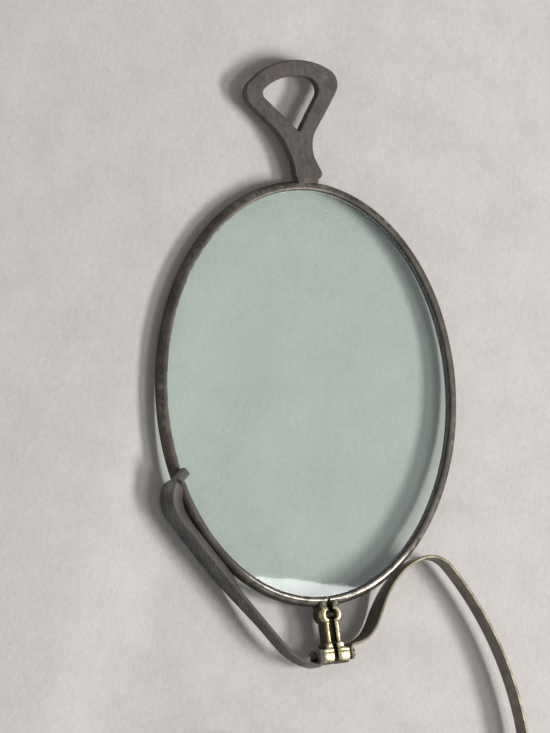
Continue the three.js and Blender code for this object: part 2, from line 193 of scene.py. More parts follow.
def addNode(tree, kind, inputs, **settings):
    # an input that is a socket is linked, and any other is set
    node = tree.nodes.new(kind)
    for key, value in settings.items():
        setattr(node, key, value)
    for key, value in inputs.items():
        if isinstance(value, bpy.types.NodeSocket):
            tree.links.new(value, node.inputs[key])
        else:
            node.inputs[key].default_value = value
    return node


def noiseAt(tree, coords, size, detail, rough=0.55, warp=0.0):
    # blotches of about the given size in millimetres
    inputs = {"Vector": coords, "Scale": 1 / (size * mm), "Detail": detail}
    inputs.update({"Roughness": rough, "Distortion": warp})
    return addNode(tree, "ShaderNodeTexNoise", inputs).outputs[0]


def ramp(tree, value, stops):
    node = addNode(tree, "ShaderNodeValToRGB", {0: value})
    band = node.color_ramp
    while len(band.elements) < len(stops):
        band.elements.new(1.0)
    for element, (place, colour) in zip(band.elements, stops):
        element.position = place
        element.color = tone(*colour)
    return node.outputs[0]


def remap(tree, value, low, high, toLow, toHigh):
    return addNode(tree, "ShaderNodeMapRange", {0: value, 1: low, 2: high, 3: toLow, 4: toHigh}).outputs[0]


def patches(tree, coords, look, name):
    # the noise and the band of that name in a finish's dictionary, as a share from place to place
    return remap(tree, noiseAt(tree, coords, *look[name + "Noise"]), *look[name + "Band"])


def mixed(tree, share, first, second):
    # an RGBA Mix node has its factor at input 0, its colours at 6 and 7 and its result at output 2
    return addNode(tree, "ShaderNodeMix", {0: share, 6: first, 7: second}, data_type="RGBA").outputs[2]


def stain(tree, coords, look, name, base):
    # patches of that name's colour over a base colour
    return mixed(tree, patches(tree, coords, look, name), base, tone(*look[name]))


def field(tree, name):
    node = tree.nodes.new("ShaderNodeAttribute")
    node.attribute_name = name
    return node.outputs["Fac"]


def times(tree, first, second, operation="MULTIPLY"):
    return addNode(tree, "ShaderNodeMath", {0: first, 1: second}, operation=operation).outputs[0]


def bumped(tree, shader, height, depth):
    # depth in millimetres
    bump = addNode(tree, "ShaderNodeBump", {"Height": height, "Distance": depth * mm})
    bump.inputs["Strength"].default_value = 1.0
    tree.links.new(bump.outputs[0], shader.inputs["Normal"])


def link(tree, value, shader, socket):
    tree.links.new(value, shader.inputs[socket])


def setMetal(tree, shader, look, colour, roughness, relief):
    # what every metal has: a colour and a roughness that vary, how metallic it is, and a fine relief
    link(tree, colour, shader, "Base Color")
    link(tree, roughness, shader, "Roughness")
    shader.inputs["Metallic"].default_value = look["metallic"]
    bumped(tree, shader, relief, look["depth"])


# Finishes. A noise is its size in millimetres, its detail and its roughness. A band is two levels of a
# noise or field and what they turn into. A colour is as seen on a screen, and stops are levels with one.

rimLook = {
    "patinaNoise": (2.6, 6),
    "patina": ((0.36, (64, 59, 55)), (0.50, (79, 73, 68)), (0.64, (91, 84, 77))),
    "rustNoise": (1.1, 8, 0.65),
    "rustBand": (0.58, 0.72, 0, 0.4),
    "rust": (86, 72, 62),
    "scuffAndSheenNoise": (0.6, 7, 0.62),
    "scuffAndSheenBand": (0.47, 0.60, 0, 1),
    "scuffAndSheen": (160, 154, 142),
    "bareNoise": (0.9, 7, 0.6),
    "bareBand": (0.40, 0.56, 0.12, 0.46),
    "barePolishBand": (0.3, 1, 0, 1),
    "bare": (180, 172, 158),
    "polishBand": (0, 1, 0.60, 0.12),
    "unevenNoise": (0.7, 6),
    "unevenBand": (0.3, 0.7, -0.04, 0.06),
    "metallic": 0.7,
    "grainNoise": (0.24, 6, 0.6),
    "depth": 0.007,
}


def rimSteel():
    # dark brown-grey patina, paler in places along the crest and on the lower side's inner lip, partly
    # from wear and partly a painted highlight; polished and partly bare beside the joint
    look = rimLook
    material, tree, shader, coords = newMaterial("rimSteel")
    patina = ramp(tree, noiseAt(tree, coords, *look["patinaNoise"]), look["patina"])
    stained = stain(tree, coords, look, "rust", patina)
    bareness = remap(tree, field(tree, "polish"), *look["barePolishBand"])
    bareness = times(tree, bareness, patches(tree, coords, look, "bare"))
    bared = mixed(tree, bareness, stained, tone(*look["bare"]))
    # Pale scuffs where the wear-and-sheen field lies: partly wear, partly painted highlight.
    scuffAndSheen = times(tree, field(tree, "worn"), patches(tree, coords, look, "scuffAndSheen"))
    colour = mixed(tree, scuffAndSheen, bared, tone(*look["scuffAndSheen"]))
    polished = remap(tree, field(tree, "polish"), *look["polishBand"])
    roughness = times(tree, polished, patches(tree, coords, look, "uneven"), "ADD")
    setMetal(tree, shader, look, colour, roughness, noiseAt(tree, coords, *look["grainNoise"]))
    return material


rustLook = {
    "scaleNoise": (1.6, 8, 0.62),
    "scale": ((0.30, (58, 54, 52)), (0.46, (86, 80, 77)), (0.58, (97, 90, 85)), (0.72, (75, 71, 69))),
    "fleckNoise": (0.35, 4, 0.7),
    "fleckBand": (0.60, 0.70, 0, 0.5),
    "fleck": (140, 133, 125),
    "rustNoise": (2.2, 6),
    "rustBand": (0.55, 0.70, 0, 0.45),
    "rust": (88, 70, 62),
    "brazeNoise": (0.5, 6, 0.65),
    "brazeBand": (0.50, 0.62, 0, 0.8),
    "braze": (150, 140, 106),
    "roughBand": (0.3, 0.7, 0.58, 0.82),
    "metallic": 0.25,
    "pitNoise": (0.28, 8, 0.7),
    "dentNoise": (0.9, 5),
    "depth": 0.08,
}


def rustedSteel():
    # matt grey-brown rust with darker scale, paler flecks and traces of brazing at the foot
    look = rustLook
    material, tree, shader, coords = newMaterial("rustedSteel")
    scale = noiseAt(tree, coords, *look["scaleNoise"])
    brown = ramp(tree, scale, look["scale"])
    flecked = stain(tree, coords, look, "fleck", brown)
    reddened = stain(tree, coords, look, "rust", flecked)
    braze = times(tree, field(tree, "braze"), patches(tree, coords, look, "braze"))
    colour = mixed(tree, braze, reddened, tone(*look["braze"]))
    roughness = remap(tree, scale, *look["roughBand"])
    pits = noiseAt(tree, coords, *look["pitNoise"])
    dents = noiseAt(tree, coords, *look["dentNoise"])
    setMetal(tree, shader, look, colour, roughness, times(tree, pits, dents, "ADD"))
    return material


padLook = {
    "steelNoise": (1.6, 7, 0.6),
    "steel": ((0.36, (106, 107, 107)), (0.52, (128, 128, 126)), (0.66, (154, 153, 148))),
    "grooveDarkBand": (0.05, 0.7, 0.8, 0),
    "grooveDark": (66, 66, 65),
    "rustNoise": (1.8, 7, 0.62),
    "rustBand": (0.55, 0.70, 0, 0.6),
    "rust": (88, 78, 71),
    "edge": (72, 66, 61),
    "roughBand": (0.3, 0.7, 0.5, 0.7),
    "metallic": 0.5,
    "grainNoise": (0.15, 5, 0.6),
    "depth": 0.015,
}


def padSteel():
    # grey steel, darker between the knurl's points, with some rust and brown edges, and the strip's lean
    # to the rim darkened as painted shade
    look = padLook
    material, tree, shader, coords = newMaterial("padSteel")
    blotch = noiseAt(tree, coords, *look["steelNoise"])
    steel = ramp(tree, blotch, look["steel"])
    # darker in the knurl's grooves, between its points
    grooveDark = remap(tree, field(tree, "ridge"), *look["grooveDarkBand"])
    grooveDarkened = mixed(tree, grooveDark, steel, tone(*look["grooveDark"]))
    stained = stain(tree, coords, look, "rust", grooveDarkened)
    colour = mixed(tree, field(tree, "edge"), stained, tone(*look["edge"]))
    roughness = remap(tree, blotch, *look["roughBand"])
    setMetal(tree, shader, look, colour, roughness, noiseAt(tree, coords, *look["grainNoise"]))
    return material


brassLook = {
    "brassNoise": (0.55, 7, 0.62),
    "brass": ((0.36, (170, 155, 116)), (0.52, (208, 195, 154)), (0.66, (230, 221, 186))),
    "blotchBand": (0.3, 0.6, -0.32, 0.22),
    "rubBand": (0.3, 0.72, 0, 1),
    "patinaNoise": (0.5, 6),
    "patina": ((0.35, (70, 63, 52)), (0.65, (112, 102, 80))),
    "solder": (74, 72, 68),
    "roughNoise": (0.4, 5),
    "roughBand": (0.3, 0.7, 0.20, 0.40),
    "metallic": 0.9,
    "grainNoise": (0.18, 6, 0.6),
    "depth": 0.02,
}


def jointBrass():
    # brass, bright where rubbing and a painted highlight lie on the posts' tops and shoulders, dark
    # olive-brown elsewhere, also as painted shade on the feet's ends, and grey where it is brazed on
    look = brassLook
    material, tree, shader, coords = newMaterial("jointBrass")
    blotch = noiseAt(tree, coords, *look["brassNoise"])
    brass = ramp(tree, blotch, look["brass"])
    # Rubbing and painted highlight set where the brass shows bright.
    brightened = times(tree, field(tree, "worn"), remap(tree, blotch, *look["blotchBand"]), "ADD")
    patina = ramp(tree, noiseAt(tree, coords, *look["patinaNoise"]), look["patina"])
    tarnished = mixed(tree, remap(tree, brightened, *look["rubBand"]), patina, brass)
    colour = mixed(tree, field(tree, "solder"), tarnished, tone(*look["solder"]))
    roughness = patches(tree, coords, look, "rough")
    setMetal(tree, shader, look, colour, roughness, noiseAt(tree, coords, *look["grainNoise"]))
    return material


springLook = {
    "greyNoise": (2.2, 7, 0.6),
    "grey": ((0.34, (112, 107, 100)), (0.5, (134, 128, 120)), (0.68, (150, 143, 130))),
    "streakDetail": 5.0,
    "streakBand": (0.45, 0.62, 0, 0.4),
    "streak": (104, 99, 90),
    "root": (92, 86, 74),
    "corner": (84, 76, 64),
    "rubNoise": (1.1, 6),
    "rubBand": (0.38, 0.58, 0.3, 1),
    "brightened": (164, 153, 128),
    "roughBand": (0.35, 0.65, 0.34, 0.5),
    "metallic": 0.6,
    "depth": 0.008,
}


def springMetal():
    # warm grey faces with lengthwise drawing marks; the edges have dark corners and a rubbed middle
    look = springLook
    material, tree, shader, coords = newMaterial("springMetal")
    lengthwise = {0: field(tree, "along"), 1: field(tree, "height")}
    marks = addNode(tree, "ShaderNodeCombineXYZ", lengthwise).outputs[0]
    drawn = {"Vector": marks, "Scale": 1.0, "Detail": look["streakDetail"]}
    streak = addNode(tree, "ShaderNodeTexNoise", drawn).outputs[0]
    grey = ramp(tree, noiseAt(tree, coords, *look["greyNoise"]), look["grey"])
    streaked = mixed(tree, remap(tree, streak, *look["streakBand"]), grey, tone(*look["streak"]))
    rooted = mixed(tree, field(tree, "root"), streaked, tone(*look["root"]))
    cornered = mixed(tree, field(tree, "corner"), rooted, tone(*look["corner"]))
    brightened = times(tree, field(tree, "edge"), patches(tree, coords, look, "rub"))
    colour = mixed(tree, brightened, cornered, tone(*look["brightened"]))
    setMetal(tree, shader, look, colour, remap(tree, streak, *look["roughBand"]), streak)
    return material


screwLook = {
    "steelNoise": (0.6, 6),
    "steel": ((0.35, (72, 66, 60)), (0.65, (126, 116, 102))),
    "rustNoise": (0.4, 6),
    "rustBand": (0.55, 0.66, 0, 0.7),
    "rust": (92, 62, 46),
    "roughNoise": (0.2, 5),
    "roughBand": (0.3, 0.7, 0.3, 0.5),
    "metallic": 0.9,
    "grainNoise": (0.12, 5),
    "depth": 0.012,
}


def screwSteel():
    # dark satin steel with a fine grain and a little rust
    look = screwLook
    material, tree, shader, coords = newMaterial("screwSteel")
    steel = ramp(tree, noiseAt(tree, coords, *look["steelNoise"]), look["steel"])
    rusted = stain(tree, coords, look, "rust", steel)
    roughness = patches(tree, coords, look, "rough")
    setMetal(tree, shader, look, rusted, roughness, noiseAt(tree, coords, *look["grainNoise"]))
    return material


glassLook = {
    "tint": (0.808, 0.894, 0.87, 1),  # linear, as the next one
    "through": (0.909, 0.956, 0.944, 1),  # what each face leaves of the light that falls through it
    "dustNoise": (0.5, 3, 0.7),
    "dustBand": (0.735, 0.80, 0, 0.8),
    "dust": (196, 196, 186),
    "clearBand": (0, 1, 1, 0.2),  # glass lets light through, dust hardly does
    "groundBand": (0, 1, 0.018, 0.85),  # polished faces, ground edge
    "ior": 1.52,
    "waveNoise": (7.0, 2),
    "depth": 0.004,
}


def lensGlass():
    # pale blue-green glass with faint waves and dust specks, which lets the lamps through
    look = glassLook
    material, tree, shader, coords = newMaterial("lensGlass")
    speck = patches(tree, coords, look, "dust")
    link(tree, mixed(tree, speck, look["tint"], tone(*look["dust"])), shader, "Base Color")
    link(tree, remap(tree, speck, *look["clearBand"]), shader, "Transmission Weight")
    link(tree, remap(tree, field(tree, "ground"), *look["groundBand"]), shader, "Roughness")
    shader.inputs["IOR"].default_value = look["ior"]
    bumped(tree, shader, noiseAt(tree, coords, *look["waveNoise"]), look["depth"])
    through = addNode(tree, "ShaderNodeBsdfTransparent", {"Color": look["through"]})
    path = tree.nodes.new("ShaderNodeLightPath").outputs
    lighting = times(tree, path["Is Shadow Ray"], path["Is Diffuse Ray"], "MAXIMUM")
    shades = {0: lighting, 1: shader.outputs[0], 2: through.outputs[0]}
    both = addNode(tree, "ShaderNodeMixShader", shades)
    tree.links.new(both.outputs[0], tree.nodes["Material Output"].inputs["Surface"])
    return material


rimFinish = rimSteel()
rustFinish = rustedSteel()
padFinish = padSteel()
brassFinish = jointBrass()
springFinish = springMetal()
screwFinish = screwSteel()
glassFinish = lensGlass()
print("finishes made")

# Camera, as the photograph was taken

photo = {
    "height": 733,
    "pixelsPerMm": 10.777,
    "aim": (-2.563, -3.077),  # the picture's middle on the lens's middle plane, eye frame
    "azimuth": np.radians(31.2),
    "elevation": np.radians(64.26),
    "roll": np.radians(77.7),
    "distance": 2000,
    "sensor": 36,
    "clip": (0.01, 20),  # metres
}


def makeCamera():
    # backwards from the aim along the line of sight, then turned about that line
    azimuth, elevation = photo["azimuth"], photo["elevation"]
    level = np.cos(elevation)
    back = np.array([np.sin(azimuth) * level, -np.cos(azimuth) * level, np.sin(elevation)])
    aim = fromEye(np.array([*photo["aim"], 0.0]))
    data = bpy.data.cameras.new("photoCamera")
    data.sensor_width = photo["sensor"]
    data.lens = photo["sensor"] * photo["distance"] * photo["pixelsPerMm"] / photo["height"]
    data.clip_start, data.clip_end = photo["clip"]
    camera = bpy.data.objects.new("photoCamera", data)
    scene.collection.objects.link(camera)
    turn = Vector(back).to_track_quat("Z", "Y").to_matrix() @ Matrix.Rotation(photo["roll"], 3, "Z")
    place = Vector((aim + back * photo["distance"]) * mm)
    camera.matrix_world = Matrix.Translation(place) @ turn.to_4x4()
    scene.camera = camera


makeCamera()

# Light: a window of two panes towards the lower right of the picture, and a pale room around it

window = {
    "height": 450,
    "skew": np.radians(-2.5),
    "panes": {  # nearest and farthest corner over the lens in the eye frame, and watts
        "upperPane": ((16.3, 147), (130, 300), 0.58),  # the one that the lens reflects
        "lowerPane": ((40, 390), (345, 560), 5.4),  # the one that throws the long shadows
    },
}
room = {
    "colour": (0.97, 0.98, 1.0, 1),
    "lighting": 0.29,
    "seen": 0.55,
    "bounces": 0.5,  # fewer matt bounces than this: looked at straight, or through metal or glass
}


def makeLamps():
    # each pane is a level rectangle turned by the skew about its own middle
    turn = Matrix.Rotation(pair["droop"] + window["skew"], 4, "Z")
    for name, (nearCorner, farCorner, watts) in window["panes"].items():
        data = bpy.data.lights.new(name, "AREA")
        data.shape = "RECTANGLE"
        data.size, data.size_y = (np.array(farCorner) - nearCorner) * mm
        data.energy = watts
        light = bpy.data.objects.new(name, data)
        middle = (np.array(nearCorner) + farCorner) / 2
        place = Vector(fromEye(np.array([*middle, window["height"]])) * mm)
        light.matrix_world = Matrix.Translation(place) @ turn
        scene.collection.objects.link(light)


def makeRoom():
    # dim where it lights the paper, pale where the camera, metal or glass looks at it
    world = bpy.data.worlds.new("room")
    world.use_nodes = True
    tree = world.node_tree
    dim = tree.nodes["Background"]
    pale = tree.nodes.new("ShaderNodeBackground")
    for node, strength in ((dim, "lighting"), (pale, "seen")):
        node.inputs["Color"].default_value = room["colour"]
        node.inputs["Strength"].default_value = room[strength]
    path = tree.nodes.new("ShaderNodeLightPath").outputs
    looked = times(tree, path["Is Camera Ray"], path["Is Glossy Ray"], "MAXIMUM")
    looked = times(tree, looked, path["Is Transmission Ray"], "MAXIMUM")
    straight = times(tree, path["Diffuse Depth"], room["bounces"], "LESS_THAN")
    shades = {0: times(tree, looked, straight), 1: dim.outputs[0], 2: pale.outputs[0]}
    both = addNode(tree, "ShaderNodeMixShader", shades)
    tree.links.new(both.outputs[0], tree.nodes["World Output"].inputs["Surface"])
    scene.world = world
    scene.view_settings.view_transform = "Standard"


makeRoom()
makeLamps()

floor = {
    "light": (219, 214, 209),
    "dark": (196, 191, 186),
    "fibreScale": (1.0, 1.7, 1.0),  # how much finer across the fibres than along them
    "fibreNoise": (0.5, 6, 0.65, 1.2),  # the last is how far the fibres wind
    "fibreBand": (0.3, 0.7, 0, 0.62),
    "cloudNoise": (5.0, 6, 0.65),
    "cloudBand": (0.34, 0.66, 0, 0.38),
    "roughness": 0.9,
    "specular": 0.2,
    "grainNoise": (0.5, 6, 0.7),
    "depth": 0.03,
    "reach": 3000,
    "steps": 181,
    "spread": 6,  # the higher it is, the closer the grid's lines lie in the middle
    "outerRise": 0.75,  # how far the soft sheet comes up beyond the nose pads
    "outerFrom": (16, 40),
    "lowerRise": 1.15,  # and below the lenses
    "lowerFrom": (39, 50),
    "handleDip": 0.55,  # and how far it sinks again under the handle
    "handleFrom": (46, 53),
    "middle": -26,  # the grid's middle in y
}


def paperFinish():
    # matt paper, paler and darker in fibres and in clouds
    material, tree, shader, coords = newMaterial("paper")
    drawn = addNode(tree, "ShaderNodeMapping", {"Vector": coords, "Scale": floor["fibreScale"]}).outputs[0]
    fibres = patches(tree, drawn, floor, "fibre")
    clouds = patches(tree, coords, floor, "cloud")
    share = times(tree, fibres, clouds, "ADD")
    link(tree, mixed(tree, share, tone(*floor["dark"]), tone(*floor["light"])), shader, "Base Color")
    shader.inputs["Roughness"].default_value = floor["roughness"]
    shader.inputs["Specular IOR Level"].default_value = floor["specular"]
    bumped(tree, shader, noiseAt(tree, coords, *floor["grainNoise"]), floor["depth"])
    return material


def makeFloor():
    # a soft sheet that gives way under the pads, the spring and the handle and comes up to the rims
    # beside and below them; the grid's lines spread outwards by a sinh
    even = np.linspace(-1, 1, floor["steps"])
    lines = floor["reach"] * np.sinh(floor["spread"] * even) / np.sinh(floor["spread"])
    x, y = np.meshgrid(lines, lines + floor["middle"], indexing="ij")
    rise = floor["outerRise"] * smooth(np.abs(x), *floor["outerFrom"])
    rise = rise + (floor["lowerRise"] - rise) * smooth(-y, *floor["lowerFrom"])
    rise = rise - floor["handleDip"] * smooth(-x, *floor["handleFrom"])
    points = np.stack([x, y, cadBox[0][2] / mm + rise], -1)
    number = np.arange(x.size).reshape(x.shape)
    quads = np.stack([number[:-1, :-1], number[1:, :-1], number[1:, 1:], number[:-1, 1:]], -1)
    mesh = bpy.data.meshes.new("floor")
    mesh.from_pydata((points.reshape(-1, 3) * mm).tolist(), [], quads.reshape(-1, 4).tolist())
    mesh.polygons.foreach_set("use_smooth", np.ones(len(mesh.polygons), bool))
    mesh.materials.append(paperFinish())
    sheet = bpy.data.objects.new("floor", mesh)
    scene.collection.objects.link(sheet)


makeFloor()
print("camera, lamps and floor made")

# Lenses

lens = {
    "edge": 0.8,
    "crown": 0.4,  # rise of the wearer's face
    "belly": 0.15,  # and of the outer face
    "bevel": 0.3,
    "tip": 0.06,
    "rings": 26,
    "around": 180,
    "sharp": 30,  # degrees past which an edge is shown sharp, as in the other pieces
}


def lensShell():
    # faces at edge / 2 + rise (1 - s^2) over the share s of the oval's radius, the outer face with the
    # smaller rise, and a V edge
    share = np.sin(np.linspace(0, np.pi / 2, lens["rings"]))
    inner = 1 - lens["bevel"] / halfLength
    bulge = 1 - share**2
    face = np.stack([share * inner, lens["edge"] / 2 + lens["crown"] * bulge], 1)
    back = np.stack([share * inner, -lens["edge"] / 2 - lens["belly"] * bulge], 1)
    tips = np.array([[1, lens["tip"]], [1, -lens["tip"]]])
    profile = np.concatenate([face, tips, back[::-1]])
    number = np.arange(len(profile))
    ground = (number >= lens["rings"] - 1) & (number <= lens["rings"] + 2)  # the V edge, left matt
    turn = np.linspace(0, 2 * np.pi, lens["around"], endpoint=False)
    reach, height = profile[:, :1], profile[:, 1:]
    x = reach * halfLength * np.cos(turn)
    y = reach * halfHeight * np.sin(turn)
    points = fromEye(np.stack([x, y, height + 0 * turn], -1))
    return shell(points, ends=False, ground=1.0 * ground[:, None])


for side in sides:
    makePiece(f"{side}_lens_glass", [lensShell()], side, f"{side}_half",
              f"{side}_lens", glassFinish, lens["sharp"])
print("lenses made")

# Rims. In the wear-and-sheen and polish fields, out and up are places in the rim's section.

rim = {
    "wall": pair["rimWall"],
    "lip": 0.3,
    "depth": 1.5,
    "groove": 0.48,
    "clearance": 0.08,
    "slit": 0.3,
    "rounding": (0.2, 0.07, 0.03),  # of the lip's two corners and the groove's
    "stations": 480,
    "arcPoints": 25,
    "seed": {"left": 11, "right": 12},
    "uneven": 0.03,
    "unevenSize": 7.0,
    "unevenOut": 0.1,
    "outerReach": 0.5,  # radians either side of the outer end
    "wornSeed": 20,  # added to the seed
    "wornSize": 5.0,
    "wornShare": (0.15, 0.3, 0.6),  # all over, in waves, at the outer end
    "wornOut": (-0.05, 0.3),
    "wornUp": (0.25, 0.6),
    # a painted highlight along the lower side's inner lip, laid on in flecks
    "lipSheen": 0.9,
    "lipIn": (0.12, 0.26),
    "lipUp": (0.5, 0.7),
    "lowSide": (0.2, 0.5),
    "polishReach": (0.45, 0.75),  # radians either side of the joint
    "polishOuter": 0.6,
    "polishOut": (-0.26, -0.12),
    "polishUp": (0.3, 0.6),
}


def easedCorners(corners, rounding, steps=5):
    # an open chain whose inner corners are cut back by their rounding and joined by quadratic curves
    corner = np.array(corners[1:-1], float)
    back = np.array(corners[:-2], float) - corner
    ahead = np.array(corners[2:], float) - corner
    cut = np.array(rounding, float)[:, None]
    start = corner + back / np.linalg.norm(back, axis=1, keepdims=True) * cut
    end = corner + ahead / np.linalg.norm(ahead, axis=1, keepdims=True) * cut
    t = np.linspace(0, 1, steps)[:, None]
    curve = (1 - t) ** 2 * start[:, None] + 2 * t * (1 - t) * corner[:, None] + t**2 * end[:, None]
    return curve.reshape(-1, 2)


def rimSection():
    # half-round outside, two rounded lips and a square groove
    half = rim["depth"] / 2
    arc = np.linspace(-np.pi / 2, np.pi / 2, rim["arcPoints"])
    crest = np.stack([rim["wall"] * np.cos(arc), half * np.sin(arc)], 1)
    lip, groove, gap = -rim["lip"], rim["groove"], rim["clearance"]
    upper = [(0, half), (lip, half), (lip, groove), (gap, groove)]
    lower = [(out, -up) for out, up in upper[::-1]]
    inside = easedCorners(upper + lower, rim["rounding"] + rim["rounding"][::-1])
    return np.concatenate([crest, inside])


def rimShell(side):
    # the section carried round the oval from one side of the slit to the other, its crest uneven;
    # paler along the crest and at the outer end from wear and a painted highlight, with a painted
    # highlight on the lower side's inner lip; polished beside the joint
    section = rimSection()
    out, up = section[:, 0], section[:, 1]
    seat = pair["jointSeat"]
    slit = rim["slit"] / 2 / halfHeight
    angle = np.linspace(seat + slit, seat + 2 * np.pi - slit, rim["stations"])
    spot = np.stack([halfLength * np.cos(angle), halfHeight * np.sin(angle), 0 * angle], 1)
    seed = rim["seed"][side]
    uneven = 1 + rim["uneven"] * ripple(spot, rim["unevenSize"], seed)[:, None]
    x, y, _ = besideOval(angle[:, None], np.where(out > rim["unevenOut"], out * uneven, out))
    z = up + 0 * x
    outerEnd = np.exp(-(((angle - np.pi) / rim["outerReach"]) ** 2))
    allOver, inWaves, atEnd = rim["wornShare"]
    wave = ripple(spot, rim["wornSize"], seed + rim["wornSeed"])
    along = np.clip(allOver + inWaves * wave + atEnd * outerEnd, 0, 1)
    # Paler along the crest, in waves and most at the outer end, and on the lower side's inner lip: the
    # crest is partly wear and partly a painted highlight, the lip's line a painted highlight.
    crest = smooth(up, *rim["wornUp"]) * smooth(out, *rim["wornOut"]) * along[:, None]
    inLip = smooth(-out, *rim["lipIn"]) * smooth(up, *rim["lipUp"])
    lowSide = smooth(-np.sin(angle), *rim["lowSide"]) * (1 - smooth(np.cos(angle), *rim["lowSide"]))
    worn = np.maximum(crest, rim["lipSheen"] * inLip * lowSide[:, None])
    fromSeat = np.abs((angle - seat + np.pi) % (2 * np.pi) - np.pi)
    besideJoint = 1 - smooth(fromSeat, *rim["polishReach"])
    top = smooth(up, *rim["polishUp"]) * smooth(out, *rim["polishOut"])
    polish = np.maximum(besideJoint, rim["polishOuter"] * outerEnd)[:, None] * top
    return shell(fromEye(np.stack([x, y, z], -1)), worn=worn, polish=polish)


for side in sides:
    makePiece(f"{side}_rim_wire", [rimShell(side)], side, f"{side}_half",
              f"{side}_rim", rimFinish)
print("rims made")

# Joint posts. Widths are half widths across the joint, and tops are heights over its middle.

post = {
    "from": -0.45,
    "length": 5.4,
    "depth": 1.15,
    "lobe": 1.1,
    "lobeMiddle": 0.74,
    "lobeReach": 0.76,
    "lobeTop": 1.1,
    "flareFrom": -0.05,  # the lobe stays wide where it meets the rim
    "flareReach": 0.3,
    "waist": 0.76,
    "waistTop": 0.9,
    "collar": 1.0,
    "collarTop": 1.02,
    "collarFrom": (3.34, 3.5),
    "foot": 1.45,
    "footFrom": (3.85, 4.07),
    "slit": 0.15,
    "waistSlit": 0.24,
    "waistSlitFrom": (1.2, 1.9),
    "keyhole": 0.5,
    "keyholePlace": 0.8,
    "endRound": 0.85,
    "endHeight": 0.5,  # shares of the foot's height and width that its end keeps
    "endWidth": 0.7,
    "squareness": (0.62, 0.1, 0.16),  # power of the section's sine, and what collar and foot take off
    "scores": (4.3,),
    "scoreDepth": 0.06,
    "scoreWidth": 0.05,
    "scoreUp": (0.7, 1.0),
    "wornShare": (0.1, 0.85),  # all over, and on the places below, where rubbing and a painted highlight brighten the brass
    "lobeUp": (0.6, 0.9),
    "shoulderOut": (0.1, 0.6),
    "shoulderUp": (0.25, 0.7),
    "waistUp": (0.8, 0.98),
    "collarWearAndSheen": 0.7,
    "footUp": (0.55, 0.92),
    "scoreDark": 0.8,
    # painted shade on the foot's rounded end
    "endDark": 0.9,
    "endDarkFrom": (0.45, 0.9),
    "solder": 0.9,
    "solderFrom": (-0.1, 0.3),
    "stations": 190,
    "around": 72,
}


def postShell(upper):
    # closed round-cornered sections across the slit's half, carried along the joint: a ball-like lobe,
    # a slim rounded waist, a collar and a wide foot with a scored top that rounds down at its end; the
    # keyhole hollows the slit's face
    x = np.linspace(post["from"], post["length"], post["stations"])
    ball = np.sqrt(np.clip(1 - ((x - post["lobeMiddle"]) / post["lobeReach"]) ** 2, 0, 1))
    collar = smooth(x, *post["collarFrom"])
    footing = smooth(x, *post["footFrom"])
    flare = np.exp(-((np.clip(x, post["flareFrom"], None) / post["flareReach"]) ** 2))
    outer = post["waist"] + (post["lobe"] - post["waist"]) * np.maximum(ball, flare)
    outer = outer + (post["collar"] - outer) * collar
    outer = outer + (post["foot"] - outer) * footing
    hole = np.sqrt(np.clip(post["keyhole"] ** 2 - (x - post["keyholePlace"]) ** 2, 0, None))
    neck = smooth(x, *post["waistSlitFrom"]) * (1 - collar)
    inner = np.maximum(post["slit"] + (post["waistSlit"] - post["slit"]) * neck, hole)
    top = post["waistTop"] + (post["lobeTop"] - post["waistTop"]) * ball
    top = top + (post["collarTop"] - top) * collar
    top = top + (post["depth"] - top) * footing
    tail = np.clip((x - (post["length"] - post["endRound"])) / post["endRound"], 0, 1)
    fall = np.sqrt(1 - tail**2)
    tip = post["endHeight"] + (1 - post["endHeight"]) * fall
    wide = (post["endWidth"] + (1 - post["endWidth"]) * fall)[:, None]
    middle, reach = (inner + outer) / 2, (outer - inner) / 2
    plain, byCollar, byFoot = post["squareness"]
    square = (plain - byCollar * collar - byFoot * footing)[:, None]
    turn = np.linspace(0, 2 * np.pi, post["around"], endpoint=False)
    cos, sin = np.cos(turn), np.sin(turn)
    aside = np.sign(cos) * np.abs(cos) ** square
    lift = np.sign(sin) * np.abs(sin) ** square
    y = middle[:, None] + reach[:, None] * wide * aside
    z = (top * tip)[:, None] * lift
    cut = sum(np.exp(-(((x - place) / post["scoreWidth"]) ** 2)) for place in post["scores"])
    z = z - post["scoreDepth"] * cut[:, None] * smooth(lift, *post["scoreUp"])
    # The wear-and-sheen share is rubbing and a painted highlight: bright on the lobes' tops and outer
    # shoulders, the waist's crest and the feet's flat tops, darker in the scores, with painted shade on
    # the foot's rounded end.
    onLobe = (ball * (1 - flare))[:, None]
    onWaist = (1 - ball - collar).clip(0, 1)[:, None]
    onFoot = np.maximum(footing, post["collarWearAndSheen"] * collar)[:, None]
    shoulder = smooth(aside, *post["shoulderOut"]) * smooth(lift, *post["shoulderUp"])
    ring = np.maximum(shoulder, smooth(lift, *post["lobeUp"]))
    crest = smooth(lift, *post["waistUp"])
    unscored = (1 - post["scoreDark"] * np.clip(cut, 0, 1))[:, None]
    beforeEnd = (1 - post["endDark"] * smooth(tail, *post["endDarkFrom"]))[:, None]
    flat = smooth(lift, *post["footUp"]) * unscored * beforeEnd
    allOver, brightened = post["wornShare"]
    worn = allOver + brightened * (onLobe * ring + onWaist * crest + onFoot * flat).clip(0, 1)
    solder = post["solder"] * (1 - smooth(x, *post["solderFrom"]))[:, None] + 0 * y
    way = 1 if upper else -1
    points = np.stack([x[:, None] + 0 * y, way * y, z], -1)
    return shell(fromJoint(points), worn=worn, solder=solder)


for side in sides:
    for level in ("upper", "lower"):
        makePiece(f"{side}_{level}_joint_post", [postShell(level == "upper")], side, f"{side}_half",
                  f"{side}_{level}_post", brassFinish)
print("posts made")

# Screws: y along the screw in the joint frame

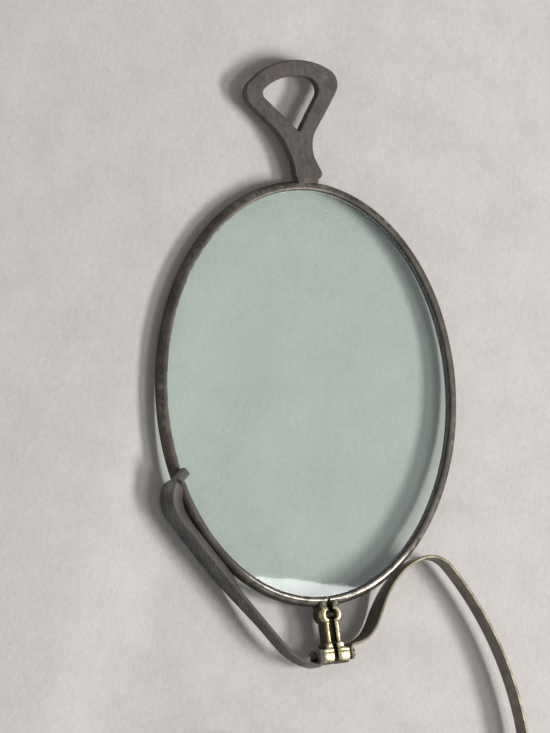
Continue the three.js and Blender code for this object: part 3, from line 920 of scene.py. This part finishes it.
screw = {
    "radius": 0.4,
    "head": 0.5,
    "headHeight": 0.45,
    "dome": 0.12,
    "edgeRound": 0.08,
    "edgeFrom": (0.72, 1.0),
    "slot": 0.16,
    "slotDepth": 0.15,
    "thread": 0.22,
    "threadDepth": 0.04,
    "closingHalf": 1.05,
    "closingHead": 0.3,
    "closingDome": 0.06,
    "closingSink": 0.2,  # how far inside its two ends the shank stops
    "place": 4.55,
    "seat": {"pad": 1.86, "spring": 1.81},
    "tab": {"pad": 0.35, "spring": 0.3},
    "tabPlay": 0.06,
    "grip": 0.9,
    "shankSink": 0.05,
    "headColumns": 12,
    "headRows": 15,
    "shankRows": 90,
    "shankAround": 40,
    "sharp": 35,
}


def slottedHead(place, seat, radius, height, dome, slotted=True):
    # closed loops in y and z swept over columns of x: a round outline, a domed top that falls with
    # the square of the distance, and a step down between the columns at the slot's two sides
    edge = screw["slot"] / 2 if slotted else 0.0
    turn = np.linspace(np.arcsin(edge / radius), np.pi / 2, screw["headColumns"])
    half = radius * np.sin(turn)
    middle = [-edge, edge] if slotted else [0.0]
    column = np.concatenate([-half[::-1], middle, half])
    deep = np.concatenate([0 * half, [1.0 if slotted else 0.0] * len(middle), 0 * half])
    width = np.sqrt(np.clip(radius**2 - column**2, 0, None))
    across = width[:, None] * np.sin(np.linspace(-np.pi / 2, np.pi / 2, screw["headRows"]))
    far = (column[:, None] ** 2 + across**2) / radius**2
    rounded = screw["edgeRound"] * smooth(far, *screw["edgeFrom"]) ** 2
    upper = seat + height - dome * far - rounded - screw["slotDepth"] * deep[:, None]
    lower = seat + 0 * across
    y = np.concatenate([upper, lower[:, ::-1]], 1)
    z = np.concatenate([across, across[:, ::-1]], 1)
    x = place + column[:, None] + 0 * y
    return np.stack([x, y, z], -1)


def threadedShank(place, low, high):
    # a round rod whose radius rises and falls along a helix
    y = np.linspace(low, high, screw["shankRows"])[:, None]
    turn = np.linspace(0, 2 * np.pi, screw["shankAround"], endpoint=False)
    wave = np.abs(((y / screw["thread"] + turn / (2 * np.pi)) % 1) * 2 - 1)
    radius = screw["radius"] - screw["threadDepth"] * wave
    return np.stack([place + radius * np.cos(turn), y + 0 * turn, radius * np.sin(turn)], -1)


def closingScrew():
    # a shank through both lobes, with a slotted end and a plain one
    place, half = post["keyholePlace"], screw["closingHalf"]
    shank = threadedShank(place, -half + screw["closingSink"], half - screw["closingSink"])
    end = (place, half - screw["closingHead"], screw["radius"], screw["closingHead"], screw["closingDome"])
    head = slottedHead(*end)
    tail = slottedHead(*end, slotted=False) * np.array([1, -1, 1])
    return [shell(fromJoint(part)) for part in (shank, head, tail)]


def stripScrew(kind):
    # a slotted head on the strip's tab and a shank through the tab into the post's foot
    way = np.array([1, 1 if kind == "spring" else -1, 1])
    seat = screw["seat"][kind]
    head = slottedHead(screw["place"], seat, screw["head"], screw["headHeight"], screw["dome"])
    tip = seat - screw["tab"][kind] - screw["tabPlay"] - screw["grip"]
    shank = threadedShank(screw["place"], tip, seat + screw["shankSink"])
    return [shell(fromJoint(part * way)) for part in (head, shank)]


for side in sides:
    makePiece(f"{side}_closing_bolt", closingScrew(), side, f"{side}_half",
              f"{side}_closing_screw", screwFinish, screw["sharp"])
    for kind in ("pad", "spring"):
        makePiece(f"{side}_{kind}_bolt", stripScrew(kind), side, f"{side}_half",
                  f"{side}_{kind}_screw", screwFinish, screw["sharp"])
print("screws made")

# Strips: the bow spring and the nose pads. A line's stations are x, y and heading.

lineSteps = {"run": 40, "arc": 80, "ease": 90}


def runOn(stations, length):
    # straight on
    x, y, heading = stations[-1]
    far = np.linspace(0, length, lineSteps["run"])[1:]
    ahead = np.stack([x + far * np.cos(heading), y + far * np.sin(heading), 0 * far + heading], 1)
    return np.concatenate([stations, ahead])


def arcOn(stations, radius, turn):
    # round an arc, to the left where turn is positive
    x, y, heading = stations[-1]
    now = heading + np.linspace(0, turn, lineSteps["arc"])[1:]
    bend = np.sign(turn) * radius
    arcX = x + bend * (np.sin(now) - np.sin(heading))
    arcY = y - bend * (np.cos(now) - np.cos(heading))
    return np.concatenate([stations, np.stack([arcX, arcY, now], 1)])


def easeOn(stations, goal, heading, reachOut, reachIn):
    # along a cubic curve to a point and heading, with the reach of its two handles
    first, start = stations[-1][:2], stations[-1][2]
    goal = np.array(goal)
    second = first + reachOut * np.array([np.cos(start), np.sin(start)])
    third = goal - reachIn * np.array([np.cos(heading), np.sin(heading)])
    t = np.linspace(0, 1, lineSteps["ease"])[1:, None]
    place = (1 - t) ** 3 * first + 3 * t * (1 - t) ** 2 * second + 3 * t**2 * (1 - t) * third + t**3 * goal
    slope = (1 - t) ** 2 * (second - first) + 2 * t * (1 - t) * (third - second) + t**2 * (goal - third)
    return np.concatenate([stations, np.column_stack([place, np.arctan2(slope[:, 1], slope[:, 0])])])


def evenly(stations, step):
    # the same line with its stations a fixed step apart, and the distance along it
    gone = np.concatenate([[0], np.cumsum(np.linalg.norm(np.diff(stations[:, :2], axis=0), axis=1))])
    far = np.linspace(0, gone[-1], int(gone[-1] / step) + 1)
    return np.stack([np.interp(far, gone, stations[:, k]) for k in range(3)], 1), far


def quarterTurn(steps=5):
    # the angles of a round corner's points
    return np.linspace(0, np.pi / 2, steps)


def stripSection(thick, rounding, faceRows):
    # a rectangle with round corners: place across the strip, share of its height, rise from that, and
    # how far the surface faces up or down
    turn = quarterTurn()
    side = thick / 2 - rounding
    corners = []
    for quarter, way, share in ((np.pi, -1, 0), (1.5 * np.pi, 1, 0), (0, 1, 1), (np.pi / 2, -1, 1)):
        cos, sin = np.cos(quarter + turn), np.sin(quarter + turn)
        lift = rounding * (sin + 1 - 2 * share)
        corners.append(np.stack([way * side + rounding * cos, share + 0 * turn, lift, np.abs(sin)], 1))
    climb = np.linspace(0, 1, faceRows + 2)[1:-1]
    face = np.stack([thick / 2 + 0 * climb, climb, rounding * (1 - 2 * climb), 0 * climb], 1)
    back = face[::-1] * np.array([-1, 1, 1, 1])
    return np.concatenate([corners[0], corners[1], face, corners[2], corners[3], back])


def stripHeights(section, low, high):
    # the section's points between a lower and an upper edge, station by station
    return low[:, None] + (high - low)[:, None] * section[:, 1] + section[:, 2]


def stripPoints(stations, across, z):
    # places across the strip, square to the line, at their heights
    x = stations[:, :1] - across * np.sin(stations[:, 2:])
    y = stations[:, 1:2] + across * np.cos(stations[:, 2:])
    return np.stack([x, y, z], -1)


def jointStation(x, y, heading):
    # a station given in the joint frame, as one of the eye frame
    cos, sin = np.cos(jointOut), np.sin(jointOut)
    return np.array([[jointX + x * cos - y * sin, jointY + x * sin + y * cos, heading + jointOut]])


tab = {"reach": 0.6, "foot": post["foot"], "gap": 0.03, "screw": screw["place"]}
spring = {
    "thick": 0.3,
    "rise": 1.0,
    "drop": 1.0,
    "tabRun": 0.45,
    "tabBend": 0.35,
    "tabTurn": np.radians(86),
    "elbow": 3.4,
    "riser": 4.1,
    "pass": np.radians(34.3),
    "gap": 0.15,
    "shoulderRadius": 6,
    "shoulderTurn": np.radians(23),
    "returnRadius": 2.65,
    "armRise": np.radians(60.4),
    "crownRise": np.radians(29),
    "crownRadius": 12.4,
    "rounding": 0.085,
    "rootDrop": 0.75,  # the strip is deeper beside the rim, between these distances from the tabs
    "rootFrom": (1.2, 2.6),
    "rootTo": (5.5, 10.5),
    "rootDull": 0.75,
    "brightFrom": (8, 15),  # distance from the tabs over which the edges become rubbed
    "edgeBright": (0.25, 0.75),  # all along, and on the arms
    "edgeFlat": (0.75, 0.97),
    "cornerFlat": (0.15, 0.5),
    "streakAlong": 0.05,  # waves of the drawing marks per millimetre along and across the strip
    "streakAcross": 9,
    "faceRows": 10,
    "step": 0.2,
    "bendFrom": -6.0,
    "bendTo": 6.0,
}


def springLine():
    # from the tab on the upper foot past the rim, round the return bend and over to the crown, then
    # mirrored
    foot = tab["foot"] + tab["gap"] + spring["thick"] / 2
    line = jointStation(tab["screw"] + tab["reach"], foot, np.pi)
    line = runOn(line, tab["reach"] + spring["tabRun"])
    line = arcOn(line, spring["tabBend"], -spring["tabTurn"])
    passX, passY, out = besideOval(spring["pass"], rim["wall"] + spring["gap"] + spring["thick"] / 2)
    line = easeOn(line, (passX, passY), out + np.pi / 2, spring["elbow"], spring["riser"])
    line = arcOn(line, spring["shoulderRadius"], -spring["shoulderTurn"])
    line = arcOn(line, spring["returnRadius"], spring["armRise"] - pair["droop"] - line[-1, 2])
    flat = fromEye(np.column_stack([line[:, :2], 0 * line[:, 0]]))
    line = np.column_stack([flat[:, :2], line[:, 2] + pair["droop"]])
    span = -spring["crownRadius"] * np.sin(spring["crownRise"]) - line[-1, 0]
    armRadius = span / (np.sin(spring["armRise"]) - np.sin(spring["crownRise"]))
    line = arcOn(line, armRadius, spring["crownRise"] - spring["armRise"])
    line = arcOn(line, spring["crownRadius"], -spring["crownRise"])
    return np.concatenate([line, line[-2::-1] * np.array([-1, 1, -1])])


def springShell():
    # the section carried along the line; its edges are rubbed on the arms and dull near the tabs
    stations, far = evenly(springLine(), spring["step"])
    section = stripSection(spring["thick"], spring["rounding"], spring["faceRows"])
    fromTab = np.minimum(far, far[-1] - far)
    root = smooth(fromTab, *spring["rootFrom"]) * (1 - smooth(fromTab, *spring["rootTo"]))
    low = -spring["rootDrop"] * root
    high = 0 * far + spring["drop"] + spring["rise"]
    points = stripPoints(stations, section[:, 0], stripHeights(section, low, high))
    along = spring["streakAlong"] * far[:, None] + 0 * section[:, 0]
    height = spring["streakAcross"] * (section[:, 1] * high[0] + section[:, 2]) + 0 * along
    onArm = smooth(fromTab, *spring["brightFrom"])[:, None]
    allAlong, onArms = spring["edgeBright"]
    edge = smooth(section[:, 3], *spring["edgeFlat"]) * (allAlong + onArms * onArm)
    corner = smooth(section[:, 3], *spring["cornerFlat"]) + 0 * along
    dull = spring["rootDull"] * (1 - onArm) + 0 * along
    return shell(points, edge=edge, corner=corner, along=along, height=height, root=dull)


bow = makePiece("bow_spring_strip", [springShell()], "left", None, "bow_spring", springFinish)
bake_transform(bow)
print("bow spring made")

pad = {
    "thick": 0.35,
    "heelDrop": 0.8,
    "drop": 2.0,
    "toeDrop": 1.5,
    "rise": 1.15,
    "crest": 1.0,
    "top": 1.75,
    "toeTop": 1.4,
    "tabRun": 0.45,
    "tabBend": 0.4,
    "tabTurn": np.radians(106),
    "heel": 2.2,
    "heelIn": 2.2,
    "pass": np.radians(42),
    "gap": 0.5,
    "bladeUp": 8.8,
    "bladeDown": 4.6,
    "taper": 9.5,
    "toeRadius": 2.9,
    "toeTurn": np.radians(58),
    "fingerTurn": np.radians(30),
    "fingerReach": 0.5,
    "fingerFrom": (0.55, 0.85),  # distance past the toe where the strip narrows to the finger
    "fingerWide": 0.9,
    "fingerDepth": 0.85,
    "hug": 0.55,  # how far the upper edge leans in to the rim, and how far it falls there
    "hugFall": 0.4,
    "hugFrom": (-4.6, -2.6),
    "hugTo": (0.3, 0.8),
    "hugUp": (0.5, 0.8),
    "hugGain": 0.9,  # how much more it leans near the toe
    "hugGainFrom": (3.0, 6.0),
    "tipRound": 0.16,
    "tipShare": 0.72,  # of the finger's size, at its very end
    "rounding": 0.09,
    "softened": 1.6,  # length over which the edges' bends are eased
    "edgeBrown": 0.85,
    "edgeFlat": (0.3, 0.9),
    "knurlPitch": 0.46,
    "knurlSlant": 0.7071,
    "knurlDepth": 0.09,
    "knurlFrom": (2.3, 3.0),
    "knurlTo": (-0.5, -0.1),
    "knurlLow": (0.0, 0.03),
    "knurlHigh": (0.94, 0.985),
    "faceRows": 58,
    "step": 0.052,
    "sharp": 60,
}


def zigzag(value):
    # 0 to 1 and back once per unit
    return np.abs((value % 1) * 2 - 1)


def eased(values, count):
    # a running mean, with the ends held
    around = np.pad(values, count, mode="edge")
    return np.convolve(around, np.ones(2 * count + 1) / (2 * count + 1), mode="valid")


def padLine():
    # from the tab on the lower foot round the heel, straight past the rim, round the toe and over the
    # rim; also the point beside the rim and the blade's direction there
    sideX, sideY, out = besideOval(-pad["pass"], rim["wall"] + pad["gap"] + pad["thick"] / 2)
    beside = np.array([sideX, sideY])
    blade = out - np.pi / 2
    way = np.array([np.cos(blade), np.sin(blade)])
    foot = tab["foot"] + tab["gap"] + pad["thick"] / 2
    line = jointStation(tab["screw"] - tab["reach"], -foot, 0)
    line = runOn(line, tab["reach"] + pad["tabRun"])
    line = arcOn(line, pad["tabBend"], -pad["tabTurn"])
    line = easeOn(line, beside - pad["bladeUp"] * way, blade, pad["heel"], pad["heelIn"])
    line = runOn(line, pad["bladeUp"] + pad["bladeDown"])
    line = arcOn(line, pad["toeRadius"], -(pad["toeTurn"] + pad["fingerTurn"]))
    return runOn(line, pad["fingerReach"]), beside, way


def padShell():
    # a strip from the tab down past the rim, narrow at the heel and deepest beside the rim, where its
    # upper edge leans in to it, that curls into a thick finger over the rim; its outer face is cut by
    # two crossing sets of V grooves
    line, besideRim, way = padLine()
    stations, far = evenly(line, pad["step"])
    fingerFar = pad["toeRadius"] * pad["fingerTurn"] + pad["fingerReach"]
    past = far - (far[-1] - fingerFar)  # distance past the end of the toe
    down = (stations[:, :2] - besideRim) @ way
    toe = pad["bladeDown"] + pad["toeRadius"] * np.sin(pad["toeTurn"])
    bends = [-pad["bladeUp"], toe - pad["taper"], toe]
    count = int(pad["softened"] / 2 / pad["step"])
    low = eased(np.interp(down, bends, [-pad["heelDrop"], -pad["drop"], -pad["toeDrop"]]), count)
    high = eased(np.interp(down, bends, [pad["rise"], pad["crest"], pad["toeTop"]]), count)
    finger = smooth(past, *pad["fingerFrom"])
    low = low + (pad["top"] - pad["fingerDepth"] - low) * finger
    high = high + (pad["top"] - high) * finger
    tail = np.clip((past - fingerFar + pad["tipRound"]) / pad["tipRound"], 0, 1)
    tip = pad["tipShare"] + (1 - pad["tipShare"]) * np.sqrt(1 - tail**2)
    middle = (low + high) / 2
    low, high = middle + (low - middle) * tip, middle + (high - middle) * tip
    widened = (1 + (pad["fingerWide"] / pad["thick"] - 1) * finger) * tip
    section = stripSection(pad["thick"], pad["rounding"], pad["faceRows"])
    across, climb = section[:, 0], section[:, 1]
    z = stripHeights(section, low, high)
    outerFace = across > pad["thick"] / 2 - near
    outerFace = outerFace * smooth(climb, *pad["knurlLow"]) * (1 - smooth(climb, *pad["knurlHigh"]))
    span = smooth(far, *pad["knurlFrom"]) * (1 - smooth(past, *pad["knurlTo"]))
    knurl = outerFace * span[:, None]
    forward = far[:, None] / pad["knurlPitch"] * pad["knurlSlant"]
    upward = z / pad["knurlPitch"] * pad["knurlSlant"]
    ridge = np.minimum(zigzag(forward + upward), zigzag(forward - upward))
    inward = smooth(-across, -pad["thick"] / 4, pad["thick"] / 2) * smooth(climb, *pad["hugUp"])
    beside = smooth(down, *pad["hugFrom"]) * (1 - smooth(past, *pad["hugTo"]))
    beside = beside * (1 + pad["hugGain"] * smooth(down, *pad["hugGainFrom"]))
    leaning = inward * beside[:, None]
    reach = across * widened[:, None] - pad["knurlDepth"] * knurl * (1 - ridge) - pad["hug"] * leaning
    points = stripPoints(stations, reach, z - pad["hugFall"] * leaning)
    # Brown along the strip's edges, and dark over its lean to the rim: painted shade where the gap beside
    # the rim lies in shadow.
    edge = np.maximum(pad["edgeBrown"] * smooth(section[:, 3], *pad["edgeFlat"]), leaning.clip(0, 1))
    return shell(fromEye(points), ridge=1 - knurl * (1 - ridge), edge=edge)


for side in sides:
    makePiece(f"{side}_knurled_pad", [padShell()], side, f"{side}_pad",
              f"{side}_nose_pad", padFinish, pad["sharp"])
print("pads made")

# Handle: x from the rim along the stem, y across it

handle = {
    "thick": 1.0,
    "seat": np.radians(177),
    "lean": np.radians(8.4),
    "stem": 4.7,
    "radius": 5.2,
    "angle": np.radians(39),
    "band": 1.5,
    "corners": (0.6, 1.25),
    "shoulder": 1.5,
    "neck": 2.15,
    "fillets": (7.5, 3.0),  # wider on the side away from the foot's bump
    "foot": 0.5,
    "sink": 0.28,
    "rounding": 0.16,
    "split": 0.16,  # share of the opening's straight side that faces the neck
    "uneven": {"outline": (0.03, 2.4, 31), "opening": (0.025, 2.0, 32)},  # height, size and seed
    "pits": ((0.02, 0.7, 33), (0.014, 0.33, 34)),
    "flare": 0.22,  # how much thicker the foot is
    "flareFrom": -0.1,
    "flareReach": 0.55,
    "braze": 0.9,
    "brazeReach": 0.6,
    "brazeAcross": (-1.2, 0.9),
    "points": {"foot": 14, "neck": 44, "fillet": 24, "side": 34, "shoulder": 26, "round": 50},
    "acrossRows": 26,
    "wallRows": 3,
}


def fanCorner(offset, corner):
    # the round corner of a fan whose sides and round side lie outside the opening's by an offset
    across = offset - corner
    reach = handle["radius"] + offset - corner
    along = np.sqrt(reach**2 - across**2)
    cos, sin = np.cos(handle["angle"]), np.sin(handle["angle"])
    middle = np.array([along * cos - across * sin, along * sin + across * cos])
    return middle, handle["angle"] + np.pi / 2, handle["angle"] + np.arctan2(across, along)


def between(first, second, count):
    # evenly from the first point up to the second, which is left out
    t = np.linspace(0, 1, count, endpoint=False)[:, None]
    return np.array(first) * (1 - t) + np.array(second) * t


def roundFrom(middle, radius, start, end, count):
    # evenly round an arc, its last point left out
    turn = np.linspace(start, end, count, endpoint=False)
    return np.array(middle) + radius * np.stack([np.cos(turn), np.sin(turn)], 1)


def handleSide(fillet, corner):
    # matching points on the outline and on the opening, for a side with y above 0
    stem, angle, neck, sink = handle["stem"], handle["angle"], handle["neck"] / 2, handle["sink"]
    count = handle["points"]
    apex = np.array([stem, 0.0])
    bend, sideTurn, roundTurn = fanCorner(handle["band"], handle["shoulder"])
    tight, tightSide, tightRound = fanCorner(0, corner)
    filletY = neck + fillet
    filletX = stem + (filletY * np.cos(angle) - handle["band"] - fillet) / np.sin(angle)
    leave = np.array([filletX, filletY]) + fillet * np.array([np.sin(angle), -np.cos(angle)])
    shoulderStart = apex + bend + handle["shoulder"] * np.array([np.cos(sideTurn), np.sin(sideTurn)])
    cornerStart = apex + tight + corner * np.array([np.cos(tightSide), np.sin(tightSide)])
    split = apex + handle["split"] * (cornerStart - apex)
    outline = np.concatenate([
        between((-sink, 0), (-sink, neck), count["foot"]),
        between((-sink, neck), (filletX, neck), count["neck"]),
        roundFrom((filletX, filletY), fillet, -np.pi / 2, angle - np.pi / 2, count["fillet"]),
        between(leave, shoulderStart, count["side"]),
        roundFrom(apex + bend, handle["shoulder"], sideTurn, roundTurn, count["shoulder"]),
        roundFrom(apex, handle["radius"] + handle["band"], roundTurn, 0, count["round"]),
    ])
    opening = np.concatenate([
        between(apex, split, count["foot"] + count["neck"] + count["fillet"]),
        between(split, cornerStart, count["side"]),
        roundFrom(apex + tight, corner, tightSide, tightRound, count["shoulder"]),
        roundFrom(apex, handle["radius"], tightRound, 0, count["round"]),
    ])
    return outline, opening


def handleEdges():
    # the two sides in one round, the second with the small bump at the foot
    outline, opening = handleSide(handle["fillets"][0], handle["corners"][0])
    lower, lowerOpening = handleSide(handle["fillets"][1], handle["corners"][1])
    end = np.array([[handle["stem"] + handle["radius"] + handle["band"], 0.0]])
    holeEnd = np.array([[handle["stem"] + handle["radius"], 0.0]])
    flip = np.array([1, -1])
    lower = lower[:0:-1] * flip
    neck = handle["neck"] / 2
    nub = np.sqrt(np.clip(handle["foot"] ** 2 - (lower[:, 0] - handle["foot"]) ** 2, 0, None))
    lower[:, 1] = np.where(np.abs(lower[:, 1] + neck) < near, -neck - nub, lower[:, 1])
    return (
        np.concatenate([outline, end, lower]),
        np.concatenate([opening, holeEnd, lowerOpening[:0:-1] * flip]),
    )


def wavering(line, name):
    # a flat line moved by a ripple
    amount, size, seed = handle["uneven"][name]
    return line + amount * ripple(np.column_stack([line, 0 * line[:, 0]]), size, seed)[:, None]


def bandSection():
    # a rectangle with round corners: share of the band's width, place from that, and height
    turn = quarterTurn()
    rounding, half = handle["rounding"], handle["thick"] / 2
    step = np.linspace(0, 1, handle["acrossRows"] + 2)[1:-1]
    wall = np.linspace(-1, 1, handle["wallRows"] + 2)[1:-1]
    corners = []
    for share, quarter, level in ((1, 0, 1), (0, np.pi / 2, 1), (0, np.pi, -1), (1, 1.5 * np.pi, -1)):
        cos, sin = np.cos(quarter + turn), np.sin(quarter + turn)
        inset = rounding * (cos + 1 - 2 * share)
        corners.append(np.stack([share + 0 * turn, inset, level * (half - rounding) + rounding * sin], 1))
    topFace = np.stack([1 - step, rounding * (2 * step - 1), half + 0 * step], 1)
    underFace = np.stack([step, rounding * (1 - 2 * step), -half + 0 * step], 1)
    innerWall = np.stack([0 * wall, 0 * wall, -wall * (half - rounding)], 1)
    outerWall = np.stack([1 + 0 * wall, 0 * wall, wall * (half - rounding)], 1)
    upper = [corners[0], topFace, corners[1], innerWall]
    return np.concatenate(upper + [corners[2], underFace, corners[3], outerWall])


def handleShell():
    # a band between the opening and the outline with round edges, thicker towards the brazed foot
    outline, opening = handleEdges()
    outline = wavering(outline, "outline")
    opening = wavering(opening, "opening")
    width = np.linalg.norm(outline - opening, axis=1)
    way = (outline - opening) / width[:, None]
    section = bandSection()
    reach = section[:, 0] * width[:, None] + section[:, 1]
    x = opening[:, :1] + way[:, :1] * reach
    y = opening[:, 1:] + way[:, 1:] * reach
    thicker = np.exp(-((np.clip(x - handle["flareFrom"], 0, None) / handle["flareReach"]) ** 2))
    z = section[:, 2] * (1 + handle["flare"] * thicker)
    flat = np.stack([x, y, z], -1)
    pits = sum(depth * ripple(flat, size, seed) for depth, size, seed in handle["pits"])
    z = z + pits * np.sign(section[:, 2])
    atFoot = np.exp(-((np.clip(x, 0, None) / handle["brazeReach"]) ** 2))
    braze = handle["braze"] * atFoot * smooth(y, *handle["brazeAcross"])
    seatX, seatY, _ = besideOval(handle["seat"], rim["wall"])
    points = turned(np.stack([x, y, z], -1), np.pi + handle["lean"], np.array([seatX, seatY, 0]))
    return shell(fromEye(points), ring=True, braze=braze)


makePiece("cord_loop_handle", [handleShell()], "left", "left_half", "handle", rustFinish)
print("handle made")
